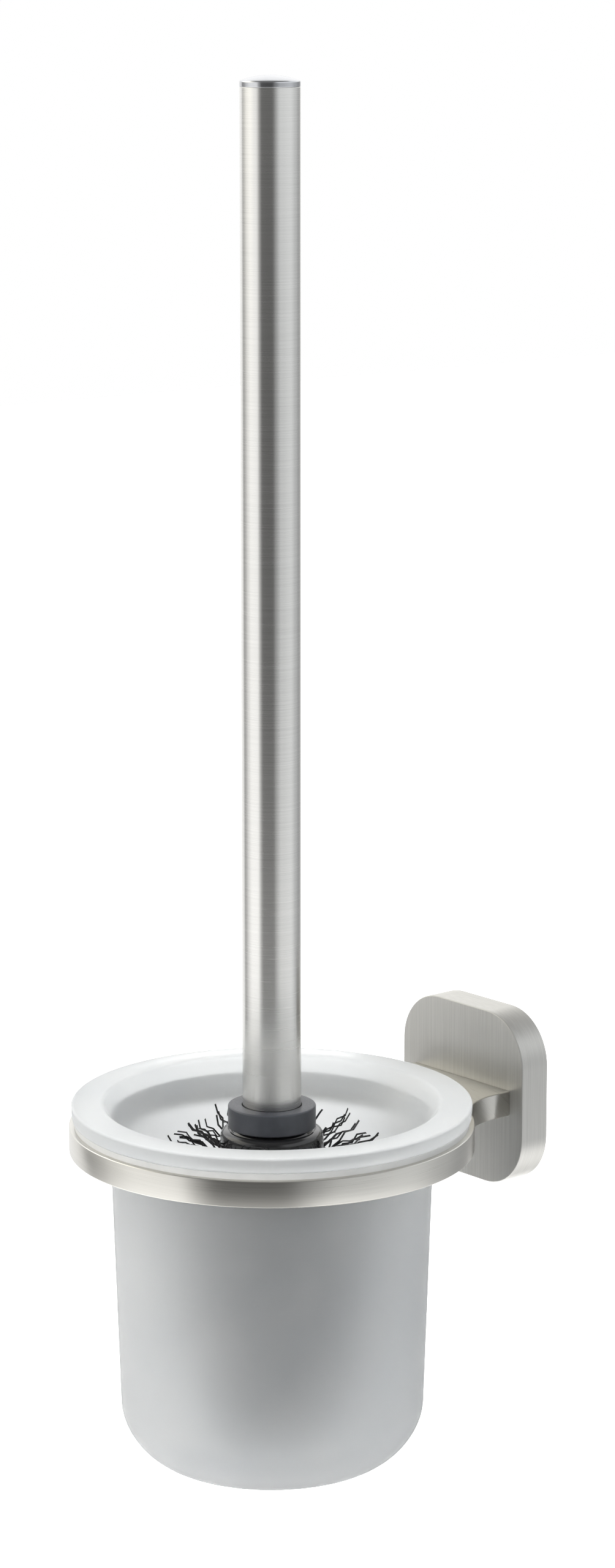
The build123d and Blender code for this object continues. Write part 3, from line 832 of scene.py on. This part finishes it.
NECK, CORE, CORE_TIP = COLLAR_RADIUS - 1.5 * MM, 9.0 * MM, 6.0 * MM
TIP_EDGE, SHOULDER_EDGE, RIM_ROUND = 3.0 * MM, 0.8 * MM, 2.0 * MM
GROOVE_WIDTH, GROOVE_EDGE = 1.6 * MM, 0.3 * MM
TAPER_TOP = HEAD_LOW + 12 * MM
SHOULDER_RIM = HEAD_TOP - 0.6 * MM
SHOULDER_LOW = SHOULDER_RIM - 6.0 * MM
NUT, NUT_LOW = 6.5 * MM, HEAD_TOP - 22 * MM
STUD_WELL, WELL_LOW = 4.5 * MM, HEAD_TOP - 24 * MM
groove_out = HEAD_RADIUS - RIM_ROUND
groove_mid, groove_low = groove_out - GROOVE_WIDTH / 2, SHOULDER_RIM - GROOVE_WIDTH / 2
head = turned("moulded_brush_head", [
    (0, HEAD_LOW, 0), (CORE_TIP, HEAD_LOW, TIP_EDGE), (CORE, TAPER_TOP, 0),
    (CORE, SHOULDER_LOW, SHOULDER_EDGE), (HEAD_RADIUS, SHOULDER_LOW, SHOULDER_EDGE),
    (HEAD_RADIUS, SHOULDER_RIM, RIM_ROUND), (groove_out, SHOULDER_RIM, 0),
    (groove_mid, groove_low, GROOVE_EDGE), (NECK, HEAD_TOP, 0), (NUT, HEAD_TOP, 0),
    (NUT, NUT_LOW, 0), (STUD_WELL, NUT_LOW, 0), (STUD_WELL, WELL_LOW, 0), (0, WELL_LOW, 0),
], sides=112, segments=4)
head.data.materials.append(head_plastic)
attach(head, "brush_head")
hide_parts("head_core")

# %% [markdown]
# ## The bristles
#
# A brush head is a core with rings of drilled holes, and each hole holds a tuft of crimped nylon
# filaments folded in half. A filament is modelled by hand: a triangle, extruded step by step with a
# small zigzag, which is the crimp. A tuft is a handful of them that fan out, and the head is many
# copies of a few tufts, planted in rows round the core. The thin tufts on top rise out of the mass
# and show one by one, the side tufts stand straight out, and the lowest ones point down. Every draw
# comes from one seeded generator, so each run is alike.

# %% Model the filaments and the tufts
draw = random.Random(11)
FILAMENT, CRIMP, FILAMENT_STEPS = 0.31 * MM, 0.62 * MM, 9
SIDE_CRIMP = 1.3 * CRIMP     # largest step sideways
TUFT_PLACE = 0.9 * MM        # how far from the tuft's middle a filament may start


def filament(length, curl):
    """One crimped filament that grows along +X from the origin and curls towards +Z."""
    clear()
    bpy.ops.mesh.primitive_circle_add(vertices=3, radius=FILAMENT, fill_type="NOTHING")
    hair = bpy.context.object
    bpy.ops.transform.rotate(value=math.pi / 2, orient_axis="Y", center_override=(0, 0, 0))
    place_in_mesh(hair)
    edit(hair)
    bpy.ops.mesh.select_all(action="SELECT")
    side_before = up_before = 0.0
    for step in range(1, FILAMENT_STEPS + 1):
        part = step / FILAMENT_STEPS
        side = draw.uniform(-1, 1) * SIDE_CRIMP
        up = (1 if step % 2 else -1) * draw.uniform(0.4, 1.0) * CRIMP + curl * length * part ** 2
        forward = length / FILAMENT_STEPS * draw.uniform(0.85, 1.1)
        bpy.ops.mesh.extrude_edges_move(
            TRANSFORM_OT_translate={"value": (forward, side - side_before, up - up_before)})
        side_before, up_before = side, up
    bpy.ops.mesh.edge_face_add()
    clear()
    return hair


def tuft(name, hairs, spread, length, curl):
    """Filaments that start together and fan out."""
    made = []
    for _ in range(hairs):
        hair = filament(length * draw.uniform(0.72, 1.0), curl * draw.uniform(-0.3, 1.2))
        turn_z, turn_y = draw.gauss(0, spread), draw.gauss(0, spread)
        hair.data.transform(Matrix.Rotation(turn_z, 4, "Z") @ Matrix.Rotation(turn_y, 4, "Y")
                            @ Matrix.Rotation(draw.uniform(-0.5, 0.5), 4, "X"))
        hair.data.transform(Matrix.Translation(
            (0, draw.uniform(-TUFT_PLACE, TUFT_PLACE), draw.uniform(-TUFT_PLACE, TUFT_PLACE))))
        made.append(hair)
    return join(made, name)


def join(pieces, name):
    """One object from several."""
    clear()
    for piece in pieces:
        piece.select_set(True)
    bpy.context.view_layer.objects.active = pieces[0]
    bpy.ops.object.join()
    joined = bpy.context.object
    joined.name = name
    clear()
    return joined


def plant(tuft_piece, angle, radius, height, lift, size):
    """A copy of a tuft, set on the core at an angle round it, tilted up by lift."""
    copy = tuft_piece.copy()
    copy.data = tuft_piece.data.copy()
    bpy.context.scene.collection.objects.link(copy)
    copy.data.transform(
        Matrix.Translation((0, AXIS_Y, height)) @ Matrix.Rotation(angle, 4, "Z")
        @ Matrix.Translation((radius, 0, 0)) @ Matrix.Rotation(-lift, 4, "Y")
        @ Matrix.Rotation(draw.uniform(-math.pi, math.pi), 4, "X") @ Matrix.Scale(size, 4))
    return copy


def tier(name, tufts, rows, nodes):
    """A tier of tufts in rows: (height, tufts in the row, lift in radians, size, radius)."""
    planted = []
    for row, (height, count, lift, size, radius) in enumerate(rows):
        for number in range(count):
            angle = 2 * math.pi * (number + 0.5 * (row % 2) + draw.uniform(-0.12, 0.12)) / count
            planted.append(plant(
                draw.choice(tufts), angle, radius, height + draw.uniform(-0.4, 0.4) * MM,
                lift + draw.uniform(-0.10, 0.10), size * draw.uniform(0.90, 1.05)))
    piece = settle(join(planted, name), name, 60)
    piece.data.materials.clear()
    piece.data.materials.append(bristle_nylon)
    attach(piece, "brush_head")
    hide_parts(*nodes)
    triangles = sum(len(face.vertices) - 2 for face in piece.data.polygons)
    print(name, len(planted), "tufts,", triangles, "triangles, reaching",
          in_mm(piece.dimensions), "mm")


# %% Plant the three tiers
root = CORE - 1.0 * MM       # the filaments start below the surface of the core
top_tufts = [tuft(f"top_tuft_{number}", 6, 0.17, 27 * MM, 0.10) for number in range(5)]
side_tufts = [tuft(f"side_tuft_{number}", 16, 0.19, 22.5 * MM, 0.02) for number in range(4)]
end_tufts = [tuft(f"end_tuft_{number}", 13, 0.17, 20 * MM, 0.02) for number in range(3)]
TOP_ROWS = (
    (-0.0085, 9, 0.40, 0.88, root), (-0.0120, 11, 0.33, 1.0, root),
    (-0.0160, 13, 0.25, 1.10, root), (-0.0205, 15, 0.13, 1.08, root),
)
SIDE_ROWS = [(-0.0250 - 0.0039 * row, 17, 0.02, 1.0 - 0.013 * row, root) for row in range(10)]
END_ROWS = (
    (-0.0655, 14, -0.10, 0.95, root), (-0.0695, 13, -0.35, 0.95, root - 1 * MM),
    (-0.0735, 11, -0.65, 0.88, root - 2 * MM), (-0.0765, 8, -1.0, 0.78, root - 3.5 * MM),
    (-0.0775, 5, -1.3, 0.70, root - 6 * MM),
)
tier("top_bristles", top_tufts, TOP_ROWS, ["bristles_top"])
tier("side_bristles", side_tufts, SIDE_ROWS, ["bristles_side"])
tier("end_bristles", end_tufts, END_ROWS, ["bristles_end"])
for piece in top_tufts + side_tufts + end_tufts:
    bpy.data.objects.remove(piece)

# %% [markdown]
# ## Finish
#
# The script ends in object mode, with nothing selected.

# %% Finish
clear()
